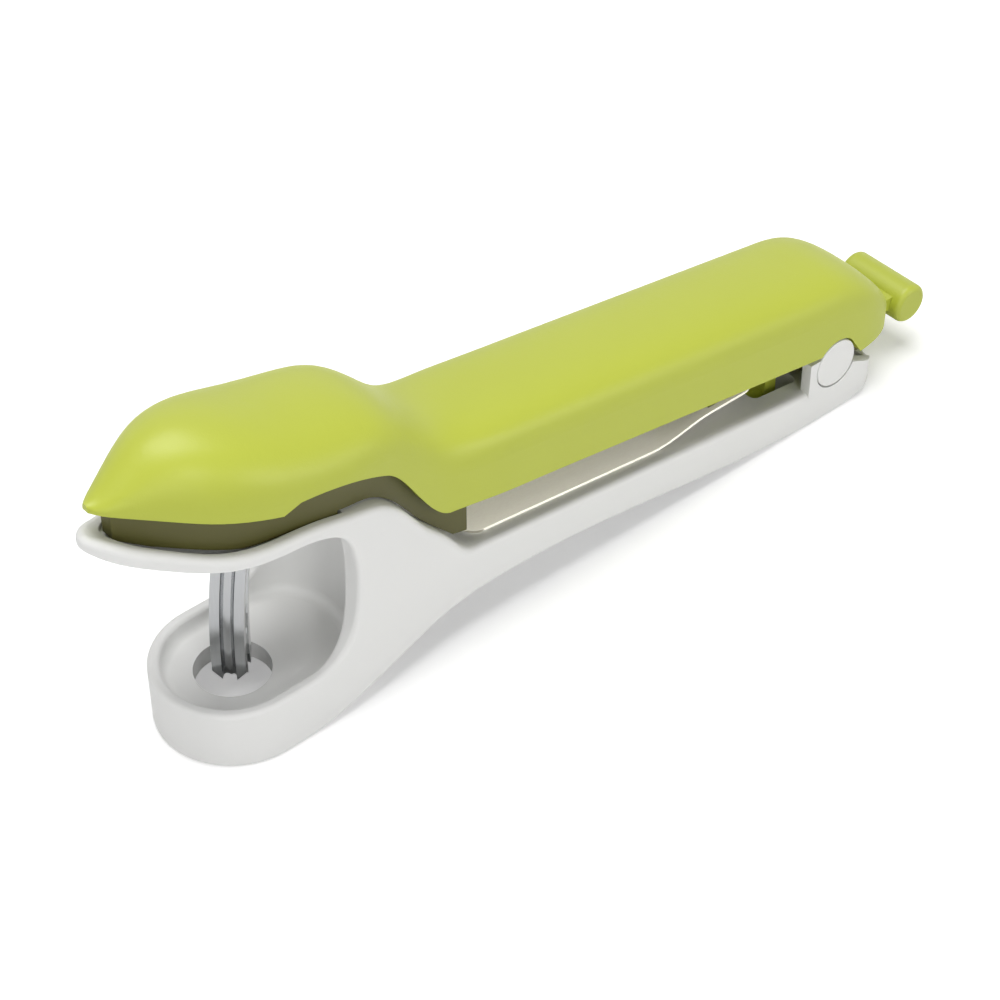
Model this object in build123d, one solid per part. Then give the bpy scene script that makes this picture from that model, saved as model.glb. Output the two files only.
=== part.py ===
from build123d import *
import os
from math import asin, degrees

# Fruit pitter, in mm. Before the last shift, x runs back from the axis of the stone hole,
# y runs to the left and z runs up from the table.

# Fits
overrun = 1.0
moving_gap = 0.3
seat_gap = 0.05
running_gap = 0.05

# Hinge
hinge_x = 138.6
hinge_z = 12.7
stud_head_radius = 5.2
stud_shaft_radius = 2.5
stud_recess_gap = 0.3

# Stone cup
cup_radius = 14.8
cup_rim_z = 12.7
cup_foot_round = 0.9
cup_wall = 2.3
dish_radius = cup_radius - cup_wall
dish_z = 9.7
dish_round = 2.0
dish_floor = 2.3
hole_radius = 7.0
hole_collar_wall = 2.2
hole_collar_z = 5.8

# Frame walls and plan
frame_wall = 2.2
deck_tip_reach = 26.3
frame_half_width = cup_radius
frame_wide_x = 8.0
tail_half_width = 12.5
tail_straight_x = 52.0
tail_overhang = 13.9
tail_corner = 6.0
leaf_x_shares = (0.57, 0.27)
leaf_width_shares = (0.595, 0.875)
tip_inset_share = 1.9
tip_blunt_share = 0.7
plan_change_z = 30.0

# Scoop behind the cup
scoop_start_x = 7.0
scoop_front_x = 17.6
scoop_edge_shares = ((0.76, 0.08), (0.93, 0.235), (1.0, 0.476), (0.98, 0.75), (0.875, 0.897))
scoop_back_x = 22.5
scoop_top_z = 42.2
scoop_corner_shares = (0.7, 0.65)
scoop_ceiling_round = 3.2
scoop_lip_round = 0.8

# Frame side view
hump_foot_x = 44.0
hump_foot_run = 2.0
flank_shares = ((0.24, 0.816), (0.49, 0.494), (0.73, 0.238))
deck_front_z = 19.4
deck_rear_x = 133.4
deck_rear_z = 8.1
belly_start_x = 5.0
belly_x = 50.0
belly_z = 8.8
belly_shares = ((0.33, 0.38), (0.64, 0.80))
foot_front_x = 131.0
foot_rear_x = 140.0
tail_end_z = 6.2
tail_end_height = 2.4
rear_wall_front_z = 10.4

# Upper deck
deck_underside_z = 43.8
deck_underside_rise = 10.2
deck_underside_shares = (
    (-0.42, -0.04),
    (-0.118, 0.088),
    (0.20, 0.17),
    (0.45, 0.30),
    (0.68, 0.51),
    (0.86, 0.74),
)
deck_tip_height = 2.4
bow_ease_share = 0.75
opening_round = 0.9
rim_back_x = 23.2
rim_back_z = 43.0
rim_shares = (
    (0.77, 0.806),
    (0.55, 0.616),
    (0.30, 0.444),
    (0.08, 0.362),
    (-0.135, 0.325),
    (-0.42, 0.254),
    (-0.685, 0.119),
)
rim_round = 1.2
rim_wall = 2.2
pocket_depth = 1.1
pocket_back_x = 16.5
guide_radius = 4.7
guide_collar_wall = 1.8
guide_collar_rise = 1.0
edge_touch = 0.2

# Tail details
slot_front_x = 121.0
slot_half_width = 7.4
slot_corner = 1.5
ear_front_x = 131.3
ear_top_z = 15.6
ear_inner_y = 8.5
ear_outer_y = 10.2
ear_radius = 5.3
crossbar_width = 1.9
channel_floor_z = 5.6
channel_end_wall = 2.0
rib_thickness = 1.6
rib_lift = 2.0
rib_place_shares = (0.17, 0.42, 0.67)
cavity_peak_share = 0.36

# Lever skin
lever_wall = 2.0
lever_tip_reach = 24.3
lever_neck_x = 41.0
lever_overhang = 18.4
head_inset = 0.3
head_half_width = frame_half_width - head_inset
handle_half_width = 12.5
head_rise = 16.5
handle_front_crown_z = 45.2
handle_rear_crown_z = 32.2
lever_end_crown_z = 18.8
# place from the hole, half width, rise of the crown over the edge, shoulder and fullness
head_front_shares = (
    (1.00, 0.05, 0.067, 0.10, 0.56),
    (0.86, 0.26, 0.206, 0.10, 0.56),
    (0.62, 0.51, 0.558, 0.11, 0.57),
    (0.33, 0.79, 0.800, 0.12, 0.58),
    (0.00, 0.95, 0.867, 0.15, 0.60),
)
head_back_shares = (
    (0.22, 1.00, 0.812, 0.17, 0.61),
    (0.44, 0.98, 0.782, 0.20, 0.62),
    (0.63, 0.91, 0.728, 0.28, 0.65),
    (0.80, 0.85, 0.920, 0.38, 0.69),
    (1.00, 0.83, 1.050, 0.47, 0.71),
)
handle_start_share = 0.10
handle_end_share = 0.97
handle_stations = 9
# the last quarter: place, half width, fall of the crown from the hinge's to the end's
lever_end_shares = (
    (0.10, 0.995, 0.03),
    (0.35, 0.985, 0.17),
    (0.62, 0.94, 0.44),
    (0.84, 0.84, 0.74),
    (1.0, 0.66, 1.0),
)
handle_shoulder_share = 0.5
handle_fullness_share = 0.72
# lower edge of the skin
edge_tip_z = 61.2
edge_dip_x = 3.6
edge_dip_z = 52.9
edge_arch_run = 3.4
edge_arch_rise = 1.2
edge_back_x = 26.0
edge_back_z = 48.2
edge_step_x = 40.0
edge_step_z = 30.8
edge_hinge_z = 15.6
lobe_front_gap = 7.4
notch_side_share = 0.85
edge_bend_share = 0.36
edge_drop_share = 0.2
lobe_z = 11.8
notch_gap = 0.4
section_depth = 5.0
tip_share = 0.03

# Lever core
core_gap = 0.3
core_wall = 2.2
skirt_reach = 0.5
skirt_lift = 0.5
skirt_back_x = 45.4
skirt_split_x = 15.7
neck_middle_share = 0.5
web_rise = 4.0
web_thickness = 2.0
channel_outer_y = 8.2
channel_inner_y = 6.5
web_back_x = 22.0
roof_drop = 4.5
roof_thickness = 2.0
flange_lift = 4.5
cheek_radius = 5.0
cheek_front_x = 126.0
core_end_x = 150.5
bridge_z = 14.3
bridge_thickness = 2.2
post_low_z = 10.8
post_outer_y = 9.3
pad_floor = 5.0
seat_drop = 0.8

# Pitting rod
rod_side = 6.0
rod_flute_radius = 1.25
rod_tip_z = 8.4
rod_top_z = 60.3
rod_notch = 3.4
rod_notch_share = 0.7
socket_radius = 6.2
socket_low_z = 53.6
socket_high_z = 62.4
cross_pin_radius = 1.0
cross_pin_z = 57.2

# Leaf spring
strip_thickness = 0.6
strip_half_width = 9.3
strip_corner = 3.5
strip_front_x = 46.4
strip_lift_x = 84.0
strip_pad_x = 106.0
strip_end_x = 119.6
strip_pad_z = 15.5
pad_front_x = 107.5
pad_back_x = 120.4

# Lock slider
slider_half_width = 6.1
slider_low_z = 11.1
slider_high_z = 14.0
slider_travel = 3.4
bar_z = 11.5
bar_radius = 4.2
bar_gap = 0.4
bar_half_length = 8.4
bar_round = 1.2
hook_thickness = 3.0
hook_half_width = 5.0
hook_low_z = 5.3
hook_toe = 3.6
hook_toe_thickness = 1.6
hook_toe_clear = 2.0

# Slider keeper
keeper_front_x = 144.0
keeper_back_x = 149.6
keeper_thickness = 1.6

# Screws
screw_head_radius = 2.4
screw_head_height = 1.5
screw_shank_radius = 1.3
recess_share = 0.5
core_screw_length = 4.8
core_screw_head_x = -7.0
core_screw_handle_xs = (60.0, 96.0)
boss_radius = 3.4
spring_screw_xs = (110.6, 116.4)
spring_screw_length = 6.5
keeper_screw_head_radius = 1.3
keeper_screw_head_height = 0.7
keeper_screw_shank_radius = 0.7
keeper_screw_length = 3.4
keeper_screw_x = 147.0
keeper_screw_y = 7.9

# Worked out from the sizes above
hinge_axis = Axis((hinge_x, 0, hinge_z), (0, 1, 0))
frame_end_x = hinge_x + tail_overhang
deck_underside_tip_z = deck_underside_z + deck_underside_rise
rim_tip_z = deck_underside_tip_z + deck_tip_height
lever_end_x = hinge_x + lever_overhang
bar_x = lever_end_x + slider_travel + bar_gap + bar_radius
slider_front_x = slot_front_x + hook_toe_clear + hook_toe
part_centre_x = (bar_x + bar_radius - deck_tip_reach) / 2
sky_z = edge_tip_z + head_rise


def lines(*points):
    """Straight edges from point to point."""
    return [Line(a, b) for a, b in zip(points, points[1:])]


def prism(edges, half_width):
    """Solid with an outline drawn in the side view as (x, z)."""
    return extrude(Plane.XZ * make_face(edges), amount=half_width, both=True)


def column(edges, low, high):
    """Solid with an outline drawn in plan as (x, y)."""
    return Pos(0, 0, low) * extrude(make_face(edges), amount=high - low)


def both_sides(half):
    """A half outline in plan and its mirror image."""
    whole = Curve() + half
    return (whole + mirror(whole, Plane.XZ)).edges()


def block(x_low, x_high, y_low, y_high, z_low, z_high):
    """Box between two corners."""
    box = Box(x_high - x_low, y_high - y_low, z_high - z_low)
    return Pos((x_low + x_high) / 2, (y_low + y_high) / 2, (z_low + z_high) / 2) * box


def pair(solid):
    """A solid and its mirror image on the other side."""
    return solid + mirror(solid, Plane.XZ)


def cross_cylinder(x, z, radius, y_low, y_high):
    """Cylinder lying across the pitter."""
    barrel = Cylinder(radius, y_high - y_low, align=(Align.CENTER, Align.CENTER, Align.MIN))
    return Pos(x, y_low, z) * Rot(X=-90) * barrel


def blend(low, high, share):
    """Point between two values."""
    return low + (high - low) * share


def deck_z(x):
    """Top of the tail's deck."""
    return blend(deck_front_z, deck_rear_z, (x - hump_foot_x) / (deck_rear_x - hump_foot_x))


def rod_angle(z):
    """Angle of a point on the rod's arc above the hinge, in degrees."""
    return degrees(asin((z - hinge_z) / hinge_x))


def along_arc(face, z_low, z_high):
    """Sweep a face, drawn flat about the hole's axis, round the hinge between two heights."""
    start = rod_angle(z_low)
    stretch = revolve(Pos(0, 0, hinge_z) * face, hinge_axis, rod_angle(z_high) - start)
    return stretch.rotate(hinge_axis, start)


def plan_behind(inset):
    """Half outline of the frame behind its widest place: waist, straight tail and rounded rear."""
    front_half = frame_half_width - inset
    tail_half = tail_half_width - inset
    side = (frame_wide_x, front_half)
    middle = (frame_wide_x + tail_straight_x) / 2
    waist = (tail_straight_x, tail_half)
    corner = (frame_end_x - tail_corner, tail_half)
    end = (frame_end_x - inset, tail_half_width - tail_corner)
    return [
        Bezier(side, (middle, front_half), (middle, tail_half), waist),
        Line(waist, corner),
        TangentArc(corner, end, tangent=(1, 0)),
        Line(end, (frame_end_x - inset, 0)),
    ]


def leaf_plan(inset):
    """Outline of the frame at the deck, with a leaf-shaped front."""
    front_half = frame_half_width - inset
    leaf = [
        (-deck_tip_reach * along, frame_half_width * out - inset)
        for along, out in zip(leaf_x_shares, leaf_width_shares)
    ]
    tip = (-deck_tip_reach + inset * tip_inset_share, 0)
    wide = (frame_wide_x / 2, front_half)
    side = (frame_wide_x, front_half)
    front = Spline(
        tip, *leaf, wide, tangents=((0, 1), (1, 0)), tangent_scalars=(tip_blunt_share, 1)
    )
    return both_sides([front, Line(wide, side), *plan_behind(inset)])


def cup_plan():
    """Outline of the frame at the cup, with a round front."""
    side = (frame_wide_x, cup_radius)
    front = CenterArc((0, 0), cup_radius, 90, 90)
    return both_sides([front, Line((0, cup_radius), side), *plan_behind(0)])


def rim_points(drop):
    """Line of the deck's rim from the tip to its back, lowered by a drop."""
    points = [
        (-deck_tip_reach * along, blend(rim_back_z, rim_tip_z, up) - drop)
        for along, up in rim_shares
    ]
    return [(-deck_tip_reach, rim_tip_z - drop), *points, (rim_back_x, rim_back_z - drop)]


def flank_points(drop):
    """Line of the spine's back from the rim down to the tail's deck, lowered by a drop."""
    foot_x = hump_foot_x + hump_foot_run
    foot_z = deck_z(foot_x)
    flank = [
        (blend(rim_back_x, foot_x, along), blend(foot_z, rim_back_z, up) - drop)
        for along, up in flank_shares
    ]
    return [*flank, (foot_x, foot_z - drop)]


def rim_z(x):
    """Height of the rim's line at a place along it."""
    points = rim_points(0)
    for (x_low, z_low), (x_high, z_high) in zip(points, points[1:]):
        if x <= x_high:
            return blend(z_low, z_high, (x - x_low) / (x_high - x_low))
    return rim_back_z


def frame_outline():
    """Whole side view of the frame: cup, belly, tail, spine, deck and the opening under it."""
    belly_rise = [
        (blend(belly_start_x, belly_x, along), belly_z * up) for along, up in belly_shares
    ]
    top = [*rim_points(0), *flank_points(0)]
    deck_fall = (deck_rear_z - deck_front_z) / (deck_rear_x - hump_foot_x)
    bow = (-deck_tip_reach, deck_underside_tip_z)
    under = [
        (-deck_tip_reach * along, blend(deck_underside_z, deck_underside_tip_z, up))
        for along, up in deck_underside_shares
    ]
    scoop = [
        (scoop_front_x * along, blend(cup_rim_z, deck_underside_z, up))
        for along, up in scoop_edge_shares
    ]
    opening = [bow, *reversed(under), *reversed(scoop), (scoop_start_x, cup_rim_z)]
    front = -cup_radius - overrun
    beyond = frame_end_x + overrun
    return [
        Line((front, 0), (belly_start_x, 0)),
        Spline((belly_start_x, 0), *belly_rise, (belly_x, belly_z), tangents=((1, 0.05), (1, 0))),
        Spline((belly_x, belly_z), (foot_front_x, 0), tangents=((1, 0), (1, -0.04))),
        Line((foot_front_x, 0), (foot_rear_x, 0)),
        Spline((foot_rear_x, 0), (beyond, tail_end_z - tail_end_height), tangents=((1, 0), (1, 1))),
        *lines(
            (beyond, tail_end_z - tail_end_height),
            (beyond, tail_end_z),
            (deck_rear_x, deck_rear_z),
            top[-1],
        ),
        Spline(*reversed(top), tangents=((-1, -deck_fall), (-1, 0)), tangent_scalars=(1, 1)),
        Line(top[0], bow),
        Spline(*opening, tangents=((1, -0.9), (-1, 0)), tangent_scalars=(bow_ease_share, 1)),
        *lines((scoop_start_x, cup_rim_z), (front, cup_rim_z), (front, 0)),
    ]


def edges_in(solid, reach, x_low, x_high, z_low, z_high):
    """Side edges that start within a window of the side view and are longer than a reach."""
    found = []
    for edge in solid.edges():
        box = edge.bounding_box()
        beside = abs(edge.center().Y) > edge_touch
        within_x = x_low - edge_touch < box.min.X and box.max.X < x_high + edge_touch
        within_z = z_low - edge_touch < box.min.Z and box.max.Z < z_high + edge_touch
        if beside and within_x and within_z and box.size.X > reach:
            found.append(edge)
    return found


def frame_blank():
    """Frame as one solid with soft edges, before it is hollowed."""
    low = column(cup_plan(), -overrun, plan_change_z)
    high = column(leaf_plan(0), plan_change_z, sky_z)
    body = prism(frame_outline(), frame_half_width + overrun) & (low + high)
    front = -deck_tip_reach
    opening = [
        edge
        for edge in edges_in(body, edge_touch, front, scoop_front_x, cup_rim_z, deck_underside_tip_z)
        if edge.bounding_box().min.Z < rim_back_z
    ]
    body = fillet(opening, opening_round)
    rim = [
        edge
        for edge in edges_in(body, deck_tip_reach / 2, front, frame_wide_x, rim_back_z, rim_tip_z)
        if edge.bounding_box().max.Z > rim_tip_z - edge_touch
    ]
    body = fillet(rim, rim_round)
    foot = [
        edge
        for edge in edges_in(body, edge_touch, -cup_radius, belly_x, 0, belly_z)
        if edge.bounding_box().min.Z < edge_touch
    ]
    return fillet(foot, cup_foot_round)


def scoop_cutter():
    """Room above the dish, hollowing the spine behind it."""
    out_share, in_share = scoop_corner_shares
    side = (frame_wide_x, dish_radius)
    corner = (blend(frame_wide_x, scoop_back_x, out_share), dish_radius)
    back = (scoop_back_x, dish_radius * in_share)
    half = [
        CenterArc((0, 0), dish_radius, 90, 90),
        Line((0, dish_radius), side),
        Bezier(side, corner, back, (scoop_back_x, 0)),
    ]
    room = column(both_sides(half), dish_z, scoop_top_z)
    room = fillet(room.edges().group_by(Axis.Z)[0], dish_round)
    return fillet(room.edges().group_by(Axis.Z)[-1], scoop_ceiling_round)


def deck_pocket():
    """Hollow inside the deck's rim."""
    floor = [point for point in rim_points(pocket_depth) if point[0] < pocket_back_x]
    end = (pocket_back_x, rim_z(pocket_back_x) - pocket_depth)
    outline = [
        Spline(*floor, end),
        *lines(end, (pocket_back_x, sky_z), (floor[0][0], sky_z), floor[0]),
    ]
    return prism(outline, frame_half_width) & column(leaf_plan(rim_wall), 0, sky_z)


def guide_collar():
    """Ring round the rod's way through the deck."""
    ring = Circle(guide_radius + guide_collar_wall)
    return along_arc(ring, deck_underside_z, rim_z(0) - pocket_depth + guide_collar_rise)


def rod_passage():
    """Clear way for the rod through the deck, on the rod's own arc."""
    return along_arc(Circle(guide_radius), cup_rim_z + dish_round, rim_tip_z)


def underside():
    """Hollow below the cup, the spine and the tail, open to the table, with cross ribs left in."""
    floor_z = dish_z - dish_floor
    reach = dish_radius
    cup_hollow = Pos(0, 0, floor_z) * Cylinder(
        reach, floor_z + overrun, align=(Align.CENTER, Align.CENTER, Align.MAX)
    )
    collar = Pos(0, 0, hole_collar_z) * Cylinder(
        hole_radius + hole_collar_wall,
        floor_z,
        align=(Align.CENTER, Align.CENTER, Align.MIN),
    )
    front_x = cup_radius + frame_wall
    spine_x = scoop_back_x + frame_wall
    peak_z = blend(deck_front_z, rim_back_z, cavity_peak_share)
    peak_x = blend(rim_back_x, hump_foot_x, cavity_peak_share)
    foot_x = hump_foot_x + hump_foot_run
    outline = lines(
        (front_x, -overrun),
        (front_x, floor_z),
        (spine_x, floor_z),
        (spine_x, peak_z),
        (peak_x, peak_z),
        (hump_foot_x - frame_wall, deck_front_z),
        (foot_x, deck_z(foot_x) - frame_wall),
        (deck_rear_x, deck_rear_z - frame_wall),
        (deck_rear_x, -overrun),
        (front_x, -overrun),
    )
    tail_hollow = prism(outline, tail_half_width - frame_wall)
    for share in rib_place_shares:
        x = blend(hump_foot_x, slot_front_x, share)
        belly = blend(belly_z, 0, (x - belly_x) / (foot_front_x - belly_x))
        rib = block(x, x + rib_thickness, -tail_half_width, tail_half_width, belly + rib_lift, sky_z)
        tail_hollow = tail_hollow - rib
    rear_hollow = block(
        deck_rear_x + crossbar_width + frame_wall,
        foot_rear_x + tail_corner,
        frame_wall - tail_half_width,
        tail_half_width - frame_wall,
        -overrun,
        channel_floor_z - frame_wall,
    )
    return (cup_hollow - collar) + tail_hollow + rear_hollow


def hinge_ear():
    """Left ear of the frame: an inner lug for the stud and an outer wall beside its head."""
    low = channel_floor_z - rim_round
    lug = cross_cylinder(hinge_x, hinge_z, ear_radius, ear_inner_y, ear_outer_y)
    back_x = hinge_x + stud_shaft_radius
    lug += block(hinge_x - ear_radius, back_x, ear_inner_y, ear_outer_y, 0, hinge_z)
    outline = lines(
        (ear_front_x, low),
        (ear_front_x, ear_top_z),
        (hinge_x, ear_top_z),
        (hinge_x, rear_wall_front_z),
        (hinge_x + ear_radius, rear_wall_front_z),
        (frame_end_x, tail_end_z),
        (frame_end_x, low),
        (ear_front_x, low),
    )
    wall = prism(outline, tail_half_width) & column(leaf_plan(0), 0, sky_z)
    wall = wall & block(0, frame_end_x, ear_outer_y, tail_half_width, 0, sky_z)
    return lug + wall


def stud_seat():
    """Bore and sunk seat for the left pivot stud."""
    recess = stud_head_radius + stud_recess_gap
    bore = cross_cylinder(hinge_x, hinge_z, stud_shaft_radius + seat_gap, 0, tail_half_width)
    return bore + cross_cylinder(hinge_x, hinge_z, recess, ear_outer_y, tail_half_width + overrun)


def lower_frame():
    """White moulding: cup, spine, deck and tail with the hinge ears."""
    body = frame_blank()
    room = scoop_cutter()
    hollowed = body - room
    body = fillet(new_edges(body, room, combined=hollowed), scoop_lip_round)
    body = body - deck_pocket() + guide_collar()
    body -= rod_passage()
    body -= Cylinder(hole_radius, cup_rim_z * 2)
    body -= underside()
    slot = RectangleRounded(deck_rear_x - slot_front_x, slot_half_width * 2, slot_corner)
    body -= Pos((slot_front_x + deck_rear_x) / 2, 0, 0) * extrude(slot, amount=ear_top_z)
    channel_x = deck_rear_x + crossbar_width
    back_x = frame_end_x - channel_end_wall
    body -= block(channel_x, back_x, -ear_inner_y, ear_inner_y, channel_floor_z, ear_top_z)
    wide_x = hinge_x + stud_shaft_radius
    body -= block(wide_x, back_x, -ear_outer_y, ear_outer_y, channel_floor_z, ear_top_z)
    return body + pair(hinge_ear()) - pair(stud_seat())


def handle_crown(x):
    """Crown of the straight part of the handle."""
    start = blend(lever_neck_x, hinge_x, handle_start_share)
    return blend(handle_front_crown_z, handle_rear_crown_z, (x - start) / (hinge_x - start))


def lever_stations():
    """Places along the lever: x, half width, crown, shoulder share and fullness share."""
    front = [(-lever_tip_reach * along, *shares) for along, *shares in head_front_shares]
    back = [(lever_neck_x * along, *shares) for along, *shares in head_back_shares]
    stations = [
        (x, head_half_width * out, lever_edge_z(x) + head_rise * up, shoulder, full)
        for x, out, up, shoulder, full in front + back
    ]
    for step in range(handle_stations):
        along = blend(handle_start_share, handle_end_share, step / (handle_stations - 1))
        x = blend(lever_neck_x, hinge_x, along)
        crown = handle_crown(x)
        stations.append((x, handle_half_width, crown, handle_shoulder_share, handle_fullness_share))
    for along, out, fall in lever_end_shares:
        x = hinge_x + lever_overhang * along
        crown = blend(handle_rear_crown_z, lever_end_crown_z, fall)
        width = handle_half_width * out
        stations.append((x, width, crown, handle_shoulder_share, handle_fullness_share))
    return stations


def lever_edge_z(x):
    """Lower edge of the lever's skin, as straight runs."""
    runs = (
        (-lever_tip_reach, edge_tip_z),
        (edge_dip_x, edge_dip_z),
        (edge_back_x, edge_back_z),
        (edge_step_x, edge_step_z),
        (hinge_x, edge_hinge_z),
        (lever_end_x, lobe_z),
    )
    for (x_low, z_low), (x_high, z_high) in zip(runs, runs[1:]):
        if x <= x_high:
            return blend(z_low, z_high, (x - x_low) / (x_high - x_low))
    return lobe_z


def lever_body(inset):
    """Solid inside the lever's skin, set in by an inset."""
    sections = []
    for x, outer_width, crown, shoulder, full in lever_stations():
        half_width = outer_width - inset
        if half_width < head_half_width * tip_share:
            continue
        low = lever_edge_z(x)
        base = low - section_depth - inset
        high = crown - inset
        spring = blend(low, crown, shoulder)
        right = Bezier(
            (x, half_width, spring),
            (x, half_width, blend(spring, high, full)),
            (x, half_width * full, high),
            (x, 0, high),
        )
        wall = Line((x, half_width, base), (x, half_width, spring))
        half = Curve() + [wall, right]
        floor = Line((x, half_width, base), (x, -half_width, base))
        sections.append(make_face((half + mirror(half, Plane.XZ) + floor).edges()))
    return loft(sections)


def below_edge():
    """Everything under the lever's lower edge, cut away from its skin."""
    start = (-lever_tip_reach - overrun, edge_tip_z)
    dip = (edge_dip_x, edge_dip_z)
    arch = (edge_dip_x + edge_arch_run, edge_dip_z + edge_arch_rise)
    back = (edge_back_x, edge_back_z)
    step = (edge_step_x, edge_step_z)
    reach = (edge_step_x - edge_back_x) * edge_bend_share
    drop = (edge_back_z - edge_step_z) * edge_drop_share
    notch = stud_head_radius + notch_gap
    lobe = (hinge_x + lobe_front_gap, lobe_z)
    end = (lever_end_x + overrun, lobe_z)
    outline = [
        Line(start, dip),
        Line(dip, arch),
        Spline(arch, back, tangents=((1, -0.05), (1, -0.6))),
        Bezier(
            back,
            (edge_back_x + reach, edge_back_z - drop),
            (edge_step_x - reach, edge_step_z + drop / 2),
            step,
        ),
        *lines(step, (hinge_x, edge_hinge_z), (hinge_x + notch * notch_side_share, edge_hinge_z)),
        *lines((hinge_x + notch * notch_side_share, edge_hinge_z), lobe, end),
        *lines(end, (end[0], -overrun), (start[0], -overrun), start),
    ]
    cut = prism(outline, head_half_width + overrun)
    return cut + cross_cylinder(hinge_x, hinge_z, notch, -head_half_width, head_half_width)


def roof_z(x):
    """Top of the core's channel along the handle."""
    return handle_crown(x) - roof_drop


def web_z(x):
    """Top of the core's web in the head."""
    return blend(edge_tip_z, edge_dip_z, (x + lever_tip_reach) / (edge_dip_x + lever_tip_reach)) + (
        web_rise + web_thickness
    )


def core_screw_places():
    """Each core screw's x and the height of the core's top there."""
    handle = [(x, roof_z(x)) for x in core_screw_handle_xs]
    return [(core_screw_head_x, web_z(core_screw_head_x)), *handle]


def upright(x, y, radius, low, high):
    """Standing cylinder."""
    rod = Cylinder(radius, high - low, align=(Align.CENTER, Align.CENTER, Align.MIN))
    return Pos(x, y, low) * rod


def lever_shell():
    """Hollow green skin of head and handle, with bosses for the core's screws."""
    room = lever_body(lever_wall)
    for x, top in core_screw_places():
        boss = upright(x, 0, boss_radius, top + seat_gap, sky_z)
        boss -= upright(x, 0, screw_shank_radius + seat_gap, top, top + core_screw_length)
        room -= boss
    shell = lever_body(0) - room - below_edge()
    way = slider_half_width + moving_gap
    shell -= block(core_end_x, bar_x, -way, way, 0, slider_high_z + moving_gap)
    return shell


def core_top():
    """Line of the core's top through head and neck."""
    neck = blend(lever_neck_x, hinge_x, handle_start_share)
    head_top = web_z(web_back_x)
    middle_x = blend(web_back_x, neck, neck_middle_share)
    middle_z = blend(head_top, roof_z(neck), neck_middle_share) + roof_thickness
    return [(web_back_x, head_top), (middle_x, middle_z), (neck, roof_z(neck))]


def core_head(inner):
    """Skirt under head and neck, following the frame below, with a web across the head."""
    front_x = -lever_tip_reach
    sunk = [point for point in rim_points(skirt_reach) if point[0] < skirt_split_x]
    split_low = (skirt_split_x, rim_z(skirt_split_x) - skirt_reach)
    split_high = (skirt_split_x, rim_z(skirt_split_x) + skirt_lift)
    frame_line = [*rim_points(-skirt_lift), *flank_points(-skirt_lift)]
    beside = [point for point in frame_line if skirt_split_x < point[0] < skirt_back_x]
    back = (skirt_back_x, deck_z(skirt_back_x) + skirt_lift)
    top = [(front_x, web_z(front_x)), *core_top()]
    end = (skirt_back_x, top[-1][1])
    outline = [
        Spline(*sunk, split_low),
        Line(split_low, split_high),
        Spline(split_high, *beside, back),
        *lines(back, end, *reversed(top[:-1]), sunk[0]),
    ]
    head = inner & prism(outline, head_half_width)
    under = [(x, z - web_thickness) for x, z in top]
    hollow = lines(*under, (under[-1][0], 0), (front_x, 0), under[0])
    room = lever_body(lever_wall + core_gap + core_wall) & prism(hollow, head_half_width)
    return head - room


def core_channel(inner):
    """Upside-down channel inside the handle."""
    top = [*core_top()[1:], (hinge_x, roof_z(hinge_x)), (core_end_x, lever_end_crown_z)]
    front_x = top[0][0]
    low = [(x, max(lever_edge_z(x), lobe_z) + flange_lift) for x, z in top]
    outer = lines(*top, *reversed(low), top[0])
    lowered = [(x, z - roof_thickness) for x, z in top]
    inside = lines(*lowered, (core_end_x, 0), (front_x, 0), lowered[0])
    channel = prism(outer, channel_outer_y) - prism(inside, channel_inner_y)
    return channel & inner


def core_cheek():
    """Left cheek of the core at the hinge, with a post for the keeper behind it."""
    roof = roof_z(hinge_x) - roof_thickness / 2
    outline = lines(
        (cheek_front_x, roof),
        (cheek_front_x, lever_edge_z(cheek_front_x) + flange_lift),
        (hinge_x - cheek_radius, hinge_z),
        (hinge_x + cheek_radius, hinge_z),
        (keeper_front_x, post_low_z),
        (keeper_back_x, post_low_z),
        (keeper_back_x, lever_end_crown_z),
        (hinge_x, roof),
        (cheek_front_x, roof),
    )
    cheek = prism(outline, channel_outer_y)
    cheek = cheek & block(0, core_end_x, channel_inner_y, channel_outer_y, 0, sky_z)
    cheek += cross_cylinder(hinge_x, hinge_z, cheek_radius, channel_inner_y, channel_outer_y)
    cheek += block(
        keeper_front_x + moving_gap,
        keeper_back_x,
        channel_inner_y,
        post_outer_y,
        post_low_z,
        bridge_z + bridge_thickness,
    )
    bore = stud_shaft_radius + running_gap
    cheek -= cross_cylinder(hinge_x, hinge_z, bore, 0, tail_half_width)
    hole = keeper_screw_shank_radius + seat_gap
    cheek -= upright(keeper_screw_x, keeper_screw_y, hole, 0, post_low_z + keeper_screw_length)
    return cheek


def rod_face(gap):
    """Square section with a flute in each side, turned so that its corners point along and across."""
    side = rod_side + gap * 2
    face = Rectangle(side, side)
    for turn in (0, 90, 180, 270):
        face -= Rot(Z=turn) * Pos(side / 2, 0) * Circle(rod_flute_radius - gap)
    return Rot(Z=45) * face


def arc_x(z):
    """Where the rod's centre line is at a height."""
    return hinge_x - (hinge_x**2 - (z - hinge_z) ** 2) ** 0.5


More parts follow.
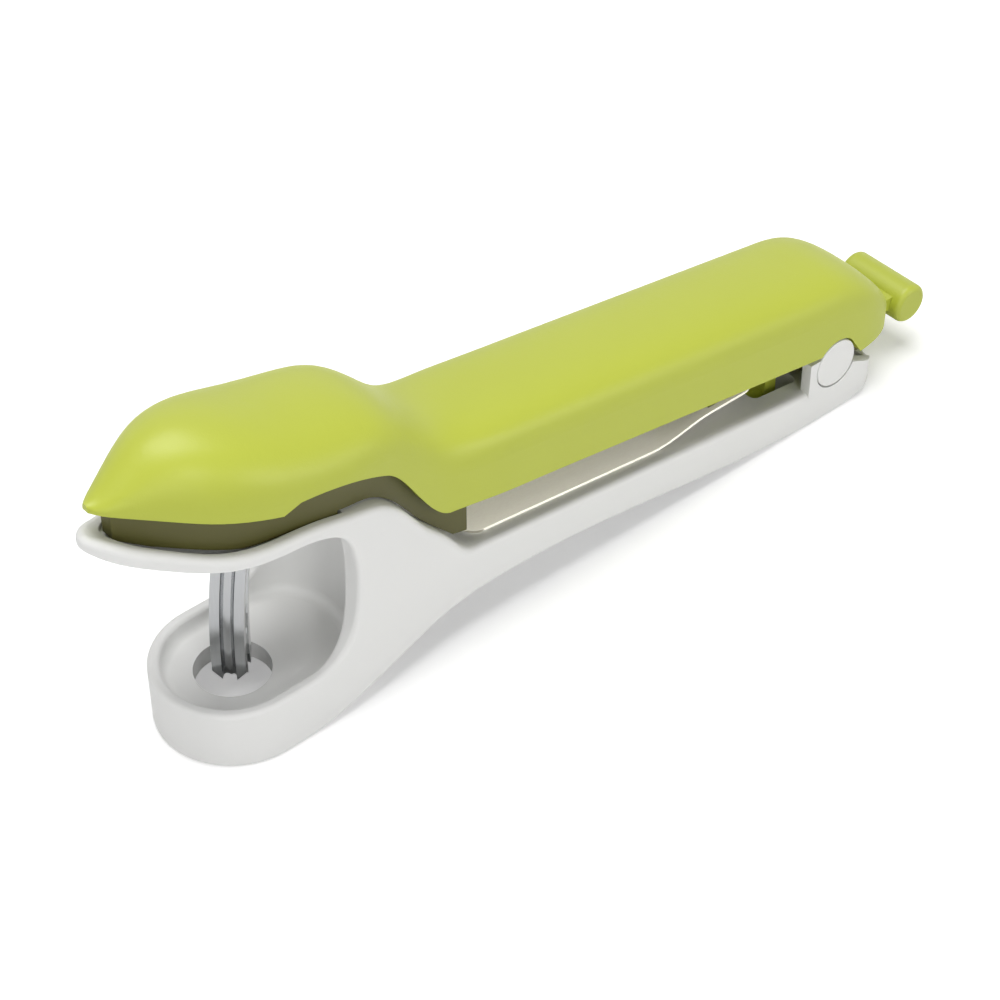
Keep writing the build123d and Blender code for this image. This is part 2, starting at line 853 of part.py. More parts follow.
def lever_core():
    """Carrier under the shell: skirt, web, rod socket, channel, spring pad, cheeks and bridge."""
    inner = lever_body(lever_wall + core_gap)
    core = core_head(inner) + core_channel(inner)
    core += along_arc(Circle(socket_radius), socket_low_z, socket_high_z) & inner
    core -= along_arc(rod_face(seat_gap), socket_low_z - overrun, rod_top_z + seat_gap)
    pin = cross_pin_radius + seat_gap
    core -= cross_cylinder(arc_x(cross_pin_z), cross_pin_z, pin, -socket_radius, socket_radius)
    pad_top = lever_edge_z(pad_front_x) + flange_lift + roof_thickness
    pad = block(pad_front_x, pad_back_x, -channel_outer_y, channel_outer_y, strip_pad_z, pad_top)
    pad -= block(
        pad_front_x, pad_back_x, -channel_inner_y, channel_inner_y, strip_pad_z + pad_floor, pad_top
    )
    core += pad
    core += pair(core_cheek())
    core += block(
        hinge_x + cheek_radius,
        keeper_back_x,
        -channel_outer_y,
        channel_outer_y,
        bridge_z,
        bridge_z + bridge_thickness,
    )
    for x, top in core_screw_places():
        seat = top - web_thickness - seat_drop
        core += upright(x, 0, boss_radius, seat, top)
        core -= upright(x, 0, boss_radius + seat_gap, top, top + web_thickness)
        core -= upright(x, 0, screw_shank_radius + seat_gap, seat - overrun, top + overrun)
    for x in spring_screw_xs:
        core -= upright(x, 0, screw_shank_radius + seat_gap, 0, strip_pad_z + spring_screw_length)
    return core


def screw(head_radius, head_height, shank_radius, shank_length):
    """Screw standing on its head, with a round driving recess; the seat of the head is at zero."""
    top = upright(0, 0, head_radius, -head_height, 0)
    top = fillet(top.edges().group_by(Axis.Z)[0], head_height / 4)
    top -= upright(0, 0, head_radius * recess_share, -head_height, -head_height * recess_share)
    return top + upright(0, 0, shank_radius, 0, shank_length)


def core_screws():
    """Screws from the core up into the shell's bosses."""
    one = screw(screw_head_radius, screw_head_height, screw_shank_radius, core_screw_length)
    return Compound(
        [Pos(x, 0, top - web_thickness - seat_drop) * one for x, top in core_screw_places()]
    )


def spring_screws():
    """Screws that clamp the strip to the core's pad."""
    one = screw(screw_head_radius, screw_head_height, screw_shank_radius, spring_screw_length)
    return Compound([Pos(x, 0, strip_pad_z - strip_thickness) * one for x in spring_screw_xs])


def keeper_screws():
    """Small screws sunk in the keeper, one each side."""
    one = screw(
        keeper_screw_head_radius,
        keeper_screw_head_height,
        keeper_screw_shank_radius,
        keeper_screw_length,
    )
    z = post_low_z - keeper_thickness + keeper_screw_head_height
    return Compound([Pos(keeper_screw_x, side * keeper_screw_y, z) * one for side in (1, -1)])


def pitting_rod():
    """Fluted rod bent on the hinge's arc, its end cut to four points."""
    rod = along_arc(rod_face(0), rod_tip_z, rod_top_z)
    half = rod_side / 2 * rod_notch_share
    foot = -rod_side
    vee = lines((-half, foot), (half, foot), (half, 0), (0, rod_notch), (-half, 0), (-half, foot))
    for turn in (0, 90):
        rod -= Pos(arc_x(rod_tip_z), 0, rod_tip_z) * Rot(Z=turn) * prism(vee, rod_side)
    pin = cross_pin_radius + seat_gap
    rod -= cross_cylinder(arc_x(cross_pin_z), cross_pin_z, pin, -rod_side, rod_side)
    return rod


def rod_cross_pin():
    """Steel pin through socket and rod."""
    reach = socket_radius - cross_pin_radius
    return cross_cylinder(arc_x(cross_pin_z), cross_pin_z, cross_pin_radius, -reach, reach)


def leaf_spring():
    """Flat steel strip that lies on the deck and bends up to the core's pad."""

    def run(rise):
        front = (strip_front_x, deck_z(strip_front_x) + seat_gap + rise)
        lift = (strip_lift_x, deck_z(strip_lift_x) + seat_gap + rise)
        pad = (strip_pad_x, strip_pad_z - strip_thickness + rise)
        end = (strip_end_x, pad[1])
        fall = (lift[1] - front[1]) / (lift[0] - front[0])
        bend = Spline(lift, pad, tangents=((1, fall), (1, 0)))
        return [Line(front, lift), bend, Line(pad, end)], front, end

    lower, low_front, low_end = run(0)
    upper, high_front, high_end = run(strip_thickness)
    ends = [Line(low_front, high_front), Line(low_end, high_end)]
    strip = prism([*lower, *upper, *ends], strip_half_width)
    plan = RectangleRounded(strip_end_x - strip_front_x, strip_half_width * 2, strip_corner)
    plan = Pos((strip_end_x + strip_front_x) / 2, 0) * plan
    strip = strip & extrude(plan, amount=sky_z)
    for x in spring_screw_xs:
        strip -= upright(x, 0, screw_shank_radius + seat_gap, 0, sky_z)
    return strip


def pivot_stud():
    """Left hinge stud: broad head flush with the frame's side and a short shaft."""
    head = cross_cylinder(hinge_x, hinge_z, stud_head_radius, ear_outer_y + seat_gap, tail_half_width)
    head = fillet(head.edges().group_by(Axis.Y)[-1], stud_recess_gap)
    inner_y = slider_half_width + moving_gap
    return head + cross_cylinder(hinge_x, hinge_z, stud_shaft_radius, inner_y, ear_outer_y + seat_gap)


def lock_slider():
    """T-shaped pull with a flat neck and a hook that goes under the slot's front lip."""
    neck = block(
        slider_front_x, bar_x, -slider_half_width, slider_half_width, slider_low_z, slider_high_z
    )
    bar = cross_cylinder(bar_x, bar_z, bar_radius, -bar_half_length, bar_half_length)
    bar = fillet(bar.edges(), bar_round)
    hook_back = slider_front_x + hook_thickness
    hook = block(
        slider_front_x, hook_back, -hook_half_width, hook_half_width, hook_low_z, slider_low_z
    )
    toe = block(
        slider_front_x - hook_toe,
        slider_front_x,
        -hook_half_width,
        hook_half_width,
        hook_low_z,
        hook_low_z + hook_toe_thickness,
    )
    return neck + bar + hook + toe


def slider_keeper():
    """Plate under the slider, screwed to the core's posts."""
    low = post_low_z - keeper_thickness
    plate = block(
        keeper_front_x + moving_gap, keeper_back_x, -post_outer_y, post_outer_y, low, post_low_z
    )
    for side in (1, -1):
        y = side * keeper_screw_y
        plate -= upright(keeper_screw_x, y, keeper_screw_shank_radius + seat_gap, 0, ear_top_z)
        head = keeper_screw_head_radius + seat_gap
        plate -= upright(keeper_screw_x, y, head, 0, low + keeper_screw_head_height)
    return plate


nodes = {
    "lower_frame": lower_frame(),
    "lever_shell": lever_shell(),
    "lever_core": lever_core(),
    "core_screws": core_screws(),
    "pitting_rod": pitting_rod(),
    "rod_cross_pin": rod_cross_pin(),
    "leaf_spring": leaf_spring(),
    "spring_screws": spring_screws(),
    "left_pivot_stud": pivot_stud(),
    "right_pivot_stud": mirror(pivot_stud(), Plane.XZ),
    "lock_slider": lock_slider(),
    "slider_keeper": slider_keeper(),
    "keeper_screws": keeper_screws(),
}
os.makedirs("parts", exist_ok=True)
for name, solid in nodes.items():
    export_step(Pos(-part_centre_x, 0, 0) * solid, f"parts/{name}.step")
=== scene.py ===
from math import cos, radians, sin

import bmesh
import bpy
from bpy.props import FloatProperty, FloatVectorProperty, PointerProperty
from mathutils import Matrix, Vector


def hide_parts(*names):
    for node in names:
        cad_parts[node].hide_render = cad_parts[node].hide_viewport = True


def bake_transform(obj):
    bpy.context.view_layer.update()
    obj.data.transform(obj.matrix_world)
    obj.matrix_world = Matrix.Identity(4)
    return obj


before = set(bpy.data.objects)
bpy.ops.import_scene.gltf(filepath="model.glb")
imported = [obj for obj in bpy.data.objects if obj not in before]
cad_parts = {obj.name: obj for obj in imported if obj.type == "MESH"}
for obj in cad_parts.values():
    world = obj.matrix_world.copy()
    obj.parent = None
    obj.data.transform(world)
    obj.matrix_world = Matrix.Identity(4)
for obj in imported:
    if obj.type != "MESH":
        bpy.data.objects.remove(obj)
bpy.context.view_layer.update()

bl_info = {
    "name": "Fruit Pitter",
    "version": (1, 0, 0),
    "blender": (4, 5, 0),
    "location": "View3D > Sidebar > Pitter",
    "description": "Dresses the solids of a hand-held fruit pitter and sets up its studio",
    "category": "Object",
}

# Lamps: name, azimuth and elevation in degrees, width in metres and the power's property
LAMPS = (
    ("top_lamp", 90, 84, 0.85, "top_power"),
    ("front_lamp", -125, 14, 0.6, "front_power"),
    ("left_lamp", 175, 25, 0.7, "left_power"),
    ("right_lamp", -62, 12, 0.5, "right_power"),
    ("glint_lamp", -106, 35, 0.22, "glint_power"),
)
# Studio: its whites, and the glow of the floor near the part and how fast it grows
PURE_WHITE = (1.0, 1.0, 1.0, 1.0)
FLOOR_WHITE = (0.93, 0.93, 0.93, 1.0)
FLOOR_GLOW = 0.26
FLOOR_GLOW_SCALE = (0.8, 0.8, 0.8)
# Patterns: waves per metre, and how far each axis is squeezed
CLOUD_WAVES = 60.0
STRIP_WAVES = 9000.0
ALONG_STRIP = (0.02, 1.0, 1.0)
ALONG_ROD = (1.0, 1.0, 0.05)
ALONG_PIN = (1.0, 0.1, 1.0)
EVEN = (1.0, 1.0, 1.0)
# Sockets of a Mix node that mixes colours
MIX_DARK, MIX_LIGHT, MIX_RESULT = 6, 7, 2
# Strip: its UV map, its steps along the deck and its steps up to the pad
STRIP_MAP = "strip_map"
FLAT_SHARES = (0.2, 0.4, 0.6, 0.8, 1.0)
BEND_STEPS = 10


class PitterFinish(bpy.types.PropertyGroup):
    """Colours and surface of the mouldings and the metal."""

    white: FloatVectorProperty(
        name="White plastic", description="Colour of the frame and studs",
        subtype="COLOR", size=4, default=(0.79, 0.79, 0.775, 1.0), min=0, max=1,
    )
    green: FloatVectorProperty(
        name="Green plastic", description="Colour of the lever's skin and the lock",
        subtype="COLOR", size=4, default=(0.475, 0.528, 0.055, 1.0), min=0, max=1,
    )
    # Painted shade: the inner moulding's colour is set about five times darker than the green skin,
    # so the shade in the gap under the lever is carried by the colour itself
    olive_with_painted_shade: FloatVectorProperty(
        name="Core plastic", description="Colour of the lever's inner moulding",
        subtype="COLOR", size=4, default=(0.088, 0.083, 0.018, 1.0), min=0, max=1,
    )
    rod: FloatVectorProperty(
        name="Rod steel", description="Colour of the polished pitting rod",
        subtype="COLOR", size=4, default=(0.53, 0.54, 0.55, 1.0), min=0, max=1,
    )
    strip: FloatVectorProperty(
        name="Spring steel", description="Colour of the leaf spring",
        subtype="COLOR", size=4, default=(0.99, 0.92, 0.82, 1.0), min=0, max=1,
    )
    screw: FloatVectorProperty(
        name="Screw steel", description="Colour of the screws and the cross pin",
        subtype="COLOR", size=4, default=(0.55, 0.55, 0.54, 1.0), min=0, max=1,
    )
    grain_size: FloatProperty(
        name="Grain size", description="Spacing of the fine grain on the mouldings",
        subtype="DISTANCE", unit="LENGTH", default=0.00035, min=0.00005,
    )
    grain_depth: FloatProperty(
        name="Grain depth", description="Depth of the fine grain on the mouldings",
        subtype="DISTANCE", unit="LENGTH", default=0.000012, min=0,
    )


class PitterStrip(bpy.types.PropertyGroup):
    """Sizes of the leaf spring, in the part's frame."""

    front: FloatProperty(
        name="Front end", description="Place of the strip's free end along the pitter",
        subtype="DISTANCE", unit="LENGTH", default=-0.02505,
    )
    lift: FloatProperty(
        name="Lift", description="Where the strip leaves the deck",
        subtype="DISTANCE", unit="LENGTH", default=0.0205,
    )
    pad: FloatProperty(
        name="Pad", description="Where the strip meets the lever's pad",
        subtype="DISTANCE", unit="LENGTH", default=0.0357,
    )
    back: FloatProperty(
        name="Back end", description="Place of the strip's screwed end along the pitter",
        subtype="DISTANCE", unit="LENGTH", default=0.04815,
    )
    front_height: FloatProperty(
        name="Front height", description="Height of the strip's lower face at its free end",
        subtype="DISTANCE", unit="LENGTH", default=0.01915, min=0,
    )
    deck_fall: FloatProperty(
        name="Deck fall", description="Fall of the deck per length", default=0.1264, min=0,
    )
    pad_height: FloatProperty(
        name="Pad height", description="Height of the strip's lower face at the pad",
        subtype="DISTANCE", unit="LENGTH", default=0.0149, min=0,
    )
    width: FloatProperty(
        name="Width", description="Width of the strip",
        subtype="DISTANCE", unit="LENGTH", default=0.0186, min=0.001,
    )
    corner: FloatProperty(
        name="Corner", description="Radius of the strip's corners",
        subtype="DISTANCE", unit="LENGTH", default=0.0035, min=0,
    )
    thickness: FloatProperty(
        name="Thickness", description="Thickness of the strip's sheet",
        subtype="DISTANCE", unit="LENGTH", default=0.0006, min=0.0001,
    )
    screw_places: FloatVectorProperty(
        name="Screw places", description="Where the two screws pass the strip",
        subtype="XYZ", unit="LENGTH", size=2, default=(0.03915, 0.04495),
    )
    screw_bore: FloatProperty(
        name="Screw bore", description="Radius of the holes for the screws",
        subtype="DISTANCE", unit="LENGTH", default=0.00135, min=0.0001,
    )


class PitterStage(bpy.types.PropertyGroup):
    """Floor, lamps and camera."""

    floor_size: FloatProperty(
        name="Floor size", description="Side of the square floor",
        subtype="DISTANCE", unit="LENGTH", default=8.0, min=0.5,
    )
    lamp_distance: FloatProperty(
        name="Lamp distance", description="Distance of every lamp from the part",
        subtype="DISTANCE", unit="LENGTH", default=1.15, min=0.3,
    )
    top_power: FloatProperty(
        name="Top lamp", description="Power of the broad lamp overhead", default=11.6, min=0,
    )
    front_power: FloatProperty(
        name="Front lamp", description="Power of the low lamp in front", default=1.8, min=0,
    )
    left_power: FloatProperty(
        name="Left lamp", description="Power of the lamp at the left", default=2.6, min=0,
    )
    right_power: FloatProperty(
        name="Right lamp", description="Power of the low lamp at the right", default=2.6, min=0,
    )
    glint_power: FloatProperty(
        name="Glint lamp", description="Power of the small lamp near the camera", default=1.7, min=0,
    )
    room_strength: FloatProperty(
        name="Room", description="Brightness of the pale room that shiny surfaces mirror",
        default=1.35, min=0,
    )
    sky_strength: FloatProperty(
        name="Sky", description="Strength of the even light from all round", default=0.06, min=0,
    )
    lens: FloatProperty(
        name="Lens", description="Focal length of the camera in millimetres on a 36 mm sensor",
        default=93.6, min=10,
    )
    camera_place: FloatVectorProperty(
        name="Camera place", description="Where the camera stands",
        subtype="TRANSLATION", unit="LENGTH", size=3, default=(-0.244405, -0.273221, 0.334387),
    )
    camera_turn: FloatVectorProperty(
        name="Camera turn", description="Azimuth, elevation and roll of the camera",
        subtype="EULER", unit="ROTATION", size=3,
        default=(radians(-40.663), radians(41.745), radians(-0.136)),
    )


def new_material(name):
    """Node material with only a Principled shader and its output."""
    finish = bpy.data.materials.new(name)
    finish.use_nodes = True
    tree = finish.node_tree
    shader = next(node for node in tree.nodes if node.type == "BSDF_PRINCIPLED")
    return finish, tree, shader


def add_node(tree, kind, **settings):
    """New node with some of its settings and input values."""
    node = tree.nodes.new(kind)
    for key, value in settings.items():
        if key in node.inputs:
            node.inputs[key].default_value = value
        else:
            setattr(node, key, value)
    return node


def squeezed_place(tree, scale):
    """Object coordinates, scaled along each axis."""
    place = add_node(tree, "ShaderNodeTexCoord").outputs["Object"]
    mapping = add_node(tree, "ShaderNodeMapping")
    mapping.inputs["Scale"].default_value = scale
    tree.links.new(place, mapping.inputs["Vector"])
    return mapping.outputs["Vector"]


def noise(tree, place, scale, detail=3.0):
    """Noise over Object coordinates, scale in waves per metre."""
    texture = add_node(tree, "ShaderNodeTexNoise", Scale=scale, Detail=detail)
    tree.links.new(place, texture.inputs["Vector"])
    return texture.outputs["Fac"]


def ramp(tree, source, low, high):
    """Source spread between two values."""
    spread = add_node(tree, "ShaderNodeMapRange")
    spread.inputs["To Min"].default_value = low
    spread.inputs["To Max"].default_value = high
    tree.links.new(source, spread.inputs["Value"])
    return spread.outputs["Result"]


def shade(tree, source, dark, light):
    """Source turned into a mix of two colours."""
    mix = add_node(tree, "ShaderNodeMix", data_type="RGBA")
    tree.links.new(source, mix.inputs["Factor"])
    mix.inputs[MIX_DARK].default_value = dark
    mix.inputs[MIX_LIGHT].default_value = light
    return mix.outputs[MIX_RESULT]


def tinted(colour, factor):
    """Colour made lighter or darker."""
    return (*(min(channel * factor, 1.0) for channel in colour[:3]), 1.0)


def moulded_plastic(name, colour, rough, mottle, speck, relief=1.0):
    """Satin moulded plastic: faint mottling, a fine grain and a little sheen variation."""
    finish = bpy.context.scene.pitter_finish
    material, tree, shader = new_material(name)
    place = add_node(tree, "ShaderNodeTexCoord").outputs["Object"]
    cloud = noise(tree, place, CLOUD_WAVES)
    tree.links.new(shade(tree, cloud, tinted(colour, 1 - mottle), tinted(colour, 1 + mottle)),
                   shader.inputs["Base Color"])
    grain = noise(tree, place, 1 / finish.grain_size)
    tree.links.new(ramp(tree, grain, rough - speck, rough + speck), shader.inputs["Roughness"])
    bump = add_node(tree, "ShaderNodeBump", Strength=1.0, Distance=finish.grain_depth * relief)
    tree.links.new(grain, bump.inputs["Height"])
    tree.links.new(bump.outputs["Normal"], shader.inputs["Normal"])
    shader.inputs["Specular IOR Level"].default_value = 0.45
    return material


def drawn_steel(name, colour, rough, along, streak, depth):
    """Steel with fine streaks along one direction: the place is squeezed before the noise."""
    material, tree, shader = new_material(name)
    lines = noise(tree, squeezed_place(tree, along), streak, 4.0)
    tree.links.new(shade(tree, lines, tinted(colour, 0.92), tinted(colour, 1.06)),
                   shader.inputs["Base Color"])
    tree.links.new(ramp(tree, lines, rough * 0.8, rough * 1.25), shader.inputs["Roughness"])
    bump = add_node(tree, "ShaderNodeBump", Strength=1.0, Distance=depth)
    tree.links.new(lines, bump.inputs["Height"])
    tree.links.new(bump.outputs["Normal"], shader.inputs["Normal"])
    shader.inputs["Metallic"].default_value = 1.0
    return material


def brushed_strip(colour):
    """Spring steel brushed along its length, which spreads the light across it."""
    material, tree, shader = new_material("spring_steel")
    lines = noise(tree, squeezed_place(tree, ALONG_STRIP), STRIP_WAVES)
    tree.links.new(shade(tree, lines, tinted(colour, 0.9), tinted(colour, 1.08)),
                   shader.inputs["Base Color"])
    tree.links.new(ramp(tree, lines, 0.48, 0.56), shader.inputs["Roughness"])
    along = add_node(tree, "ShaderNodeTangent", direction_type="UV_MAP", uv_map=STRIP_MAP)
    tree.links.new(along.outputs["Tangent"], shader.inputs["Tangent"])
    shader.inputs["Anisotropic"].default_value = 0.95
    shader.inputs["Anisotropic Rotation"].default_value = 0.25
    shader.inputs["Metallic"].default_value = 1.0
    return material


def dress(material, *names):
    """Gives CAD nodes a material."""
    for name in names:
        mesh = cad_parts[name].data
        mesh.materials.clear()
        mesh.materials.append(material)


def pick(mode, test):
    """Selects the verts, edges or faces of the edited mesh whose every corner passes a test."""
    bpy.ops.mesh.select_mode(type=mode)
    bpy.ops.mesh.select_all(action="DESELECT")
    mesh = bmesh.from_edit_mesh(bpy.context.object.data)
    kinds = {"VERT": mesh.verts, "EDGE": mesh.edges, "FACE": mesh.faces}
    for item in kinds[mode]:
        corners = [item] if mode == "VERT" else item.verts
        item.select = all(test(corner.co) for corner in corners)
    mesh.select_flush_mode()
    bmesh.update_edit_mesh(bpy.context.object.data)


def strip_line(strip):
    """Steps along the strip's lower face: flat on the deck, then up to the pad."""
    fall = strip.deck_fall
    low = strip.front_height - fall * (strip.lift - strip.front)
    flat = [strip.front + (strip.lift - strip.front) * share for share in FLAT_SHARES]
    line = [(x, strip.front_height - fall * (x - strip.front)) for x in flat]
    run = strip.pad - strip.lift
    for step in range(1, BEND_STEPS + 1):
        t = step / BEND_STEPS
        ease = t * t * (3 - 2 * t)
        line.append((strip.lift + run * t,
                     low + (strip.pad_height - low) * ease - fall * run * t * (1 - t) ** 2))
    line.append((strip.back, strip.pad_height))
    return line


def finish_modifier(kind, **settings):
    """Adds a modifier to the piece and applies it."""
    piece = bpy.context.object
    modifier = piece.modifiers.new(kind.lower(), kind)
    for key, value in settings.items():
        setattr(modifier, key, value)
    bpy.ops.object.modifier_apply(modifier=modifier.name)


def drill(piece, x, strip):
    """Hole for a screw through the strip's screwed end."""
    bpy.ops.mesh.primitive_cylinder_add(
        vertices=48, radius=strip.screw_bore, depth=strip.thickness * 6,
        location=(x, 0, strip.pad_height))
    cutter = bpy.context.object
    piece.select_set(True)
    bpy.context.view_layer.objects.active = piece
    finish_modifier("BOOLEAN", operation="DIFFERENCE", solver="EXACT", object=cutter)
    bpy.data.objects.remove(cutter)


def leaf_strip(strip):
    """Strip of spring steel, drawn out edge by edge from its free end."""
    bpy.ops.object.select_all(action="DESELECT")
    bpy.ops.mesh.primitive_plane_add(size=1)
    piece = bpy.context.object
    piece.name = "leaf_spring_strip"
    line = strip_line(strip)
    bpy.ops.object.mode_set(mode="EDIT")
    bpy.ops.mesh.select_all(action="SELECT")
    run = line[0][0] - strip.front
    bpy.ops.transform.resize(value=(run, strip.width, 1))
    bpy.ops.transform.translate(value=(strip.front + run / 2, 0, strip.front_height))
    x, z = line[0]
    pick("EDGE", lambda corner: corner.x > x - run / 2)
    bpy.ops.transform.translate(value=(0, 0, z - strip.front_height))
    for next_x, next_z in line[1:]:
        bpy.ops.mesh.extrude_edges_move(
            TRANSFORM_OT_translate={"value": (next_x - x, 0, next_z - z)})
        x, z = next_x, next_z
    edge = strip.width / 2 - strip.corner / 100
    pick("VERT", lambda corner: abs(corner.y) > edge
         and not strip.front + strip.corner / 100 < corner.x < strip.back - strip.corner / 100)
    bpy.ops.mesh.bevel(offset=strip.corner, segments=8, affect="VERTICES")
    bpy.ops.mesh.select_all(action="SELECT")
    bpy.ops.mesh.normals_make_consistent(inside=False)
    bpy.ops.object.mode_set(mode="OBJECT")
    up = piece.data.polygons[0].normal.z
    finish_modifier("SOLIDIFY", thickness=strip.thickness, offset=1 if up > 0 else -1)
    for x in strip.screw_places:
        drill(piece, x, strip)
    finish_modifier("BEVEL", width=strip.thickness / 6, segments=2, limit_method="ANGLE",
                    angle_limit=radians(50))
    piece.data.uv_layers.new(name=STRIP_MAP)
    bpy.ops.object.mode_set(mode="EDIT")
    bpy.ops.mesh.select_all(action="SELECT")
    bpy.ops.mesh.normals_make_consistent(inside=False)
    bpy.ops.uv.cube_project(cube_size=1.0)
    bpy.ops.object.mode_set(mode="OBJECT")
    bpy.ops.object.shade_smooth_by_angle(angle=radians(20))
    return piece


class PITTER_OT_frame(bpy.types.Operator):
    """Dress the white frame and its two pivot studs"""

    bl_idname = "pitter.frame"
    bl_label = "Frame and Studs"

    def execute(self, context):
        colour = context.scene.pitter_finish.white
        stud_colour = tinted(colour, 1.01)
        dress(moulded_plastic("white_plastic", colour, rough=0.42, mottle=0.012, speck=0.06),
              "lower_frame")
        dress(moulded_plastic("stud_plastic", stud_colour, rough=0.36, mottle=0.01, speck=0.05),
              "left_pivot_stud", "right_pivot_stud")
        return {"FINISHED"}


class PITTER_OT_lever(bpy.types.Operator):
    """Dress the lever's green skin"""

    bl_idname = "pitter.lever"
    bl_label = "Lever Skin"

    def execute(self, context):
        finish = context.scene.pitter_finish
        dress(moulded_plastic("green_plastic", finish.green, rough=0.40, mottle=0.02, speck=0.07,
                              relief=2.0), "lever_shell")
        return {"FINISHED"}


class PITTER_OT_core(bpy.types.Operator):
    """Dress the lever's inner moulding and the lock's keeper"""

    bl_idname = "pitter.core"
    bl_label = "Lever Core and Keeper"

    def execute(self, context):
        finish = context.scene.pitter_finish
        # Painted shade: the core and the keeper get the darkened colour that stands in for the shade
        # under the lever's skin
        dress(moulded_plastic("core_plastic", finish.olive_with_painted_shade, rough=0.5, mottle=0.02, speck=0.05),
              "lever_core", "slider_keeper")
        return {"FINISHED"}


class PITTER_OT_lock(bpy.types.Operator):
    """Dress the sliding lock"""

    bl_idname = "pitter.lock"
    bl_label = "Lock"

    def execute(self, context):
        finish = context.scene.pitter_finish
        lock_colour = tinted(finish.green, 0.97)
        dress(moulded_plastic("lock_plastic", lock_colour, rough=0.38, mottle=0.015, speck=0.06,
                              relief=2.0), "lock_slider")
        return {"FINISHED"}


class PITTER_OT_rod(bpy.types.Operator):
    """Dress the pitting rod and its cross pin"""

    bl_idname = "pitter.rod"
    bl_label = "Pitting Rod"

    def execute(self, context):
        finish = context.scene.pitter_finish
        dress(drawn_steel("rod_steel", finish.rod, rough=0.16, along=ALONG_ROD, streak=2500.0,
                          depth=0.000002), "pitting_rod")
        dress(drawn_steel("pin_steel", finish.screw, rough=0.3, along=ALONG_PIN, streak=2500.0,
                          depth=0.000002), "rod_cross_pin")
        return {"FINISHED"}


class PITTER_OT_screws(bpy.types.Operator):
    """Dress the screws"""

    bl_idname = "pitter.screws"
    bl_label = "Screws"

    def execute(self, context):
        finish = context.scene.pitter_finish
        dress(drawn_steel("screw_steel", finish.screw, rough=0.35, along=EVEN, streak=1500.0,
                          depth=0.000003), "core_screws", "spring_screws", "keeper_screws")
        return {"FINISHED"}


class PITTER_OT_strip(bpy.types.Operator):
    """Model the leaf spring that lies flat on the deck and bends up to the lever's pad"""

    bl_idname = "pitter.strip"
    bl_label = "Leaf Spring"

    def execute(self, context):
        strip = context.scene.pitter_strip
        colour = context.scene.pitter_finish.strip
        piece = leaf_strip(strip)
        material = brushed_strip(colour)
        piece.data.materials.append(material)
        dress(material, "leaf_spring")
        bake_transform(piece)
        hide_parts("leaf_spring")
        return {"FINISHED"}


def white_floor(side):
    """Large pale floor that the camera sees as white outside the shadow."""
    bpy.ops.object.select_all(action="DESELECT")
    bpy.ops.mesh.primitive_plane_add(size=side)
    floor = bpy.context.object
    floor.name = "studio_floor"
    material, tree, shader = new_material("floor_white")
    shader.inputs["Base Color"].default_value = FLOOR_WHITE
    shader.inputs["Roughness"].default_value = 0.9
    shader.inputs["Specular IOR Level"].default_value = 0.0
    shader.inputs["Emission Color"].default_value = PURE_WHITE
    middle = add_node(tree, "ShaderNodeTexGradient", gradient_type="SPHERICAL")
    tree.links.new(squeezed_place(tree, FLOOR_GLOW_SCALE), middle.inputs["Vector"])
    glow = add_node(tree, "ShaderNodeMath", operation="MULTIPLY")
    tree.links.new(ramp(tree, middle.outputs["Fac"], 1.0, FLOOR_GLOW), glow.inputs[0])
    path = add_node(tree, "ShaderNodeLightPath")
    tree.links.new(path.outputs["Is Camera Ray"], glow.inputs[1])
    tree.links.new(glow.outputs[0], shader.inputs["Emission Strength"])
    floor.data.materials.append(material)


def area_lamp(name, distance, azimuth, elevation, width, power):
    """Square soft lamp that looks at the part from one direction."""
    side = distance * cos(elevation)
    place = Vector((side * cos(azimuth), side * sin(azimuth), distance * sin(elevation)))
    bpy.ops.object.light_add(type="AREA", location=place)
    lamp = bpy.context.object
    lamp.name = name
    lamp.data.shape = "SQUARE"
    lamp.data.size = width
    lamp.data.energy = power
    lamp.rotation_euler = (-place).to_track_quat("-Z", "Y").to_euler()


def studio_sky(scene, stage):
    """Sky that the camera sees white, shiny surfaces mirror and the rest gets a little light from."""
    sky = bpy.data.worlds.new("studio_sky")
    sky.use_nodes = True
    scene.world = sky
    tree = sky.node_tree
    back = next(node for node in tree.nodes if node.type == "BACKGROUND")
    back.inputs["Color"].default_value = PURE_WHITE
    path = add_node(tree, "ShaderNodeLightPath")
    level = add_node(tree, "ShaderNodeMath", operation="MAXIMUM")
    seen = ramp(tree, path.outputs["Is Camera Ray"], stage.sky_strength, 1.0)
    mirrored = ramp(tree, path.outputs["Is Glossy Ray"], stage.sky_strength, stage.room_strength)
    tree.links.new(seen, level.inputs[0])
    tree.links.new(mirrored, level.inputs[1])
    tree.links.new(level.outputs[0], back.inputs["Strength"])


def studio_camera(scene, stage):
    """Camera at the photograph's angle."""
    data = bpy.data.cameras.new("studio_camera")
    data.sensor_width = 36.0
    data.lens = stage.lens
    data.clip_start = 0.01
    camera = bpy.data.objects.new("studio_camera", data)
    scene.collection.objects.link(camera)
    azimuth, elevation, roll = stage.camera_turn
    turn = (
        Matrix.Rotation(azimuth, 4, "Z")
        @ Matrix.Rotation(radians(90) - elevation, 4, "X")
        @ Matrix.Rotation(roll, 4, "Z")
    )
    camera.matrix_world = Matrix.Translation(stage.camera_place) @ turn
    scene.camera = camera


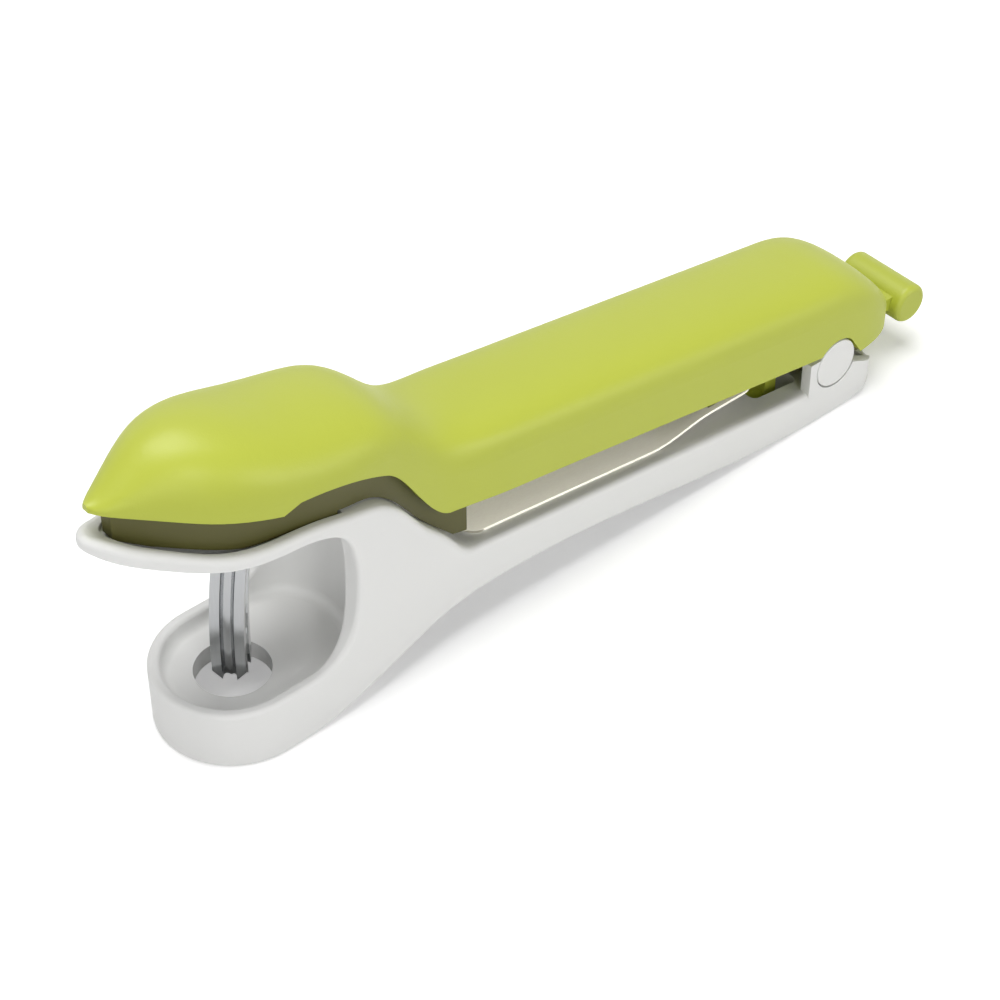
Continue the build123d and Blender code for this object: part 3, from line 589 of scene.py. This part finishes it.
class PITTER_OT_stage(bpy.types.Operator):
    """Set up the floor, the lamps, the sky and the camera"""

    bl_idname = "pitter.stage"
    bl_label = "Studio"

    def execute(self, context):
        scene = context.scene
        stage = scene.pitter_stage
        white_floor(stage.floor_size)
        for name, azimuth, elevation, width, power in LAMPS:
            area_lamp(name, stage.lamp_distance, radians(azimuth), radians(elevation), width,
                      getattr(stage, power))
        studio_sky(scene, stage)
        studio_camera(scene, stage)
        scene.view_settings.view_transform = "Standard"
        return {"FINISHED"}


class VIEW3D_PT_pitter(bpy.types.Panel):
    """Lists the pitter's operators and sizes"""

    bl_label = "Fruit Pitter"
    bl_space_type = "VIEW_3D"
    bl_region_type = "UI"
    bl_category = "Pitter"

    def draw(self, context):
        layout = self.layout
        for operator in OPERATORS:
            layout.operator(operator.bl_idname)
        scene = context.scene
        for group in (scene.pitter_finish, scene.pitter_strip, scene.pitter_stage):
            for name in group.__annotations__:
                layout.prop(group, name)


OPERATORS = (
    PITTER_OT_frame, PITTER_OT_lever, PITTER_OT_core, PITTER_OT_lock, PITTER_OT_rod,
    PITTER_OT_screws, PITTER_OT_strip, PITTER_OT_stage,
)
CLASSES = (PitterFinish, PitterStrip, PitterStage, *OPERATORS, VIEW3D_PT_pitter)


def register():
    for cls in CLASSES:
        bpy.utils.register_class(cls)
    bpy.types.Scene.pitter_finish = PointerProperty(type=PitterFinish)
    bpy.types.Scene.pitter_strip = PointerProperty(type=PitterStrip)
    bpy.types.Scene.pitter_stage = PointerProperty(type=PitterStage)


def unregister():
    del bpy.types.Scene.pitter_stage
    del bpy.types.Scene.pitter_strip
    del bpy.types.Scene.pitter_finish
    for cls in reversed(CLASSES):
        bpy.utils.unregister_class(cls)


def main():
    register()
    bpy.ops.pitter.frame()
    bpy.ops.pitter.lever()
    bpy.ops.pitter.core()
    bpy.ops.pitter.lock()
    bpy.ops.pitter.rod()
    bpy.ops.pitter.screws()
    bpy.ops.pitter.strip()
    bpy.ops.pitter.stage()


if __name__ == "__main__":
    main()
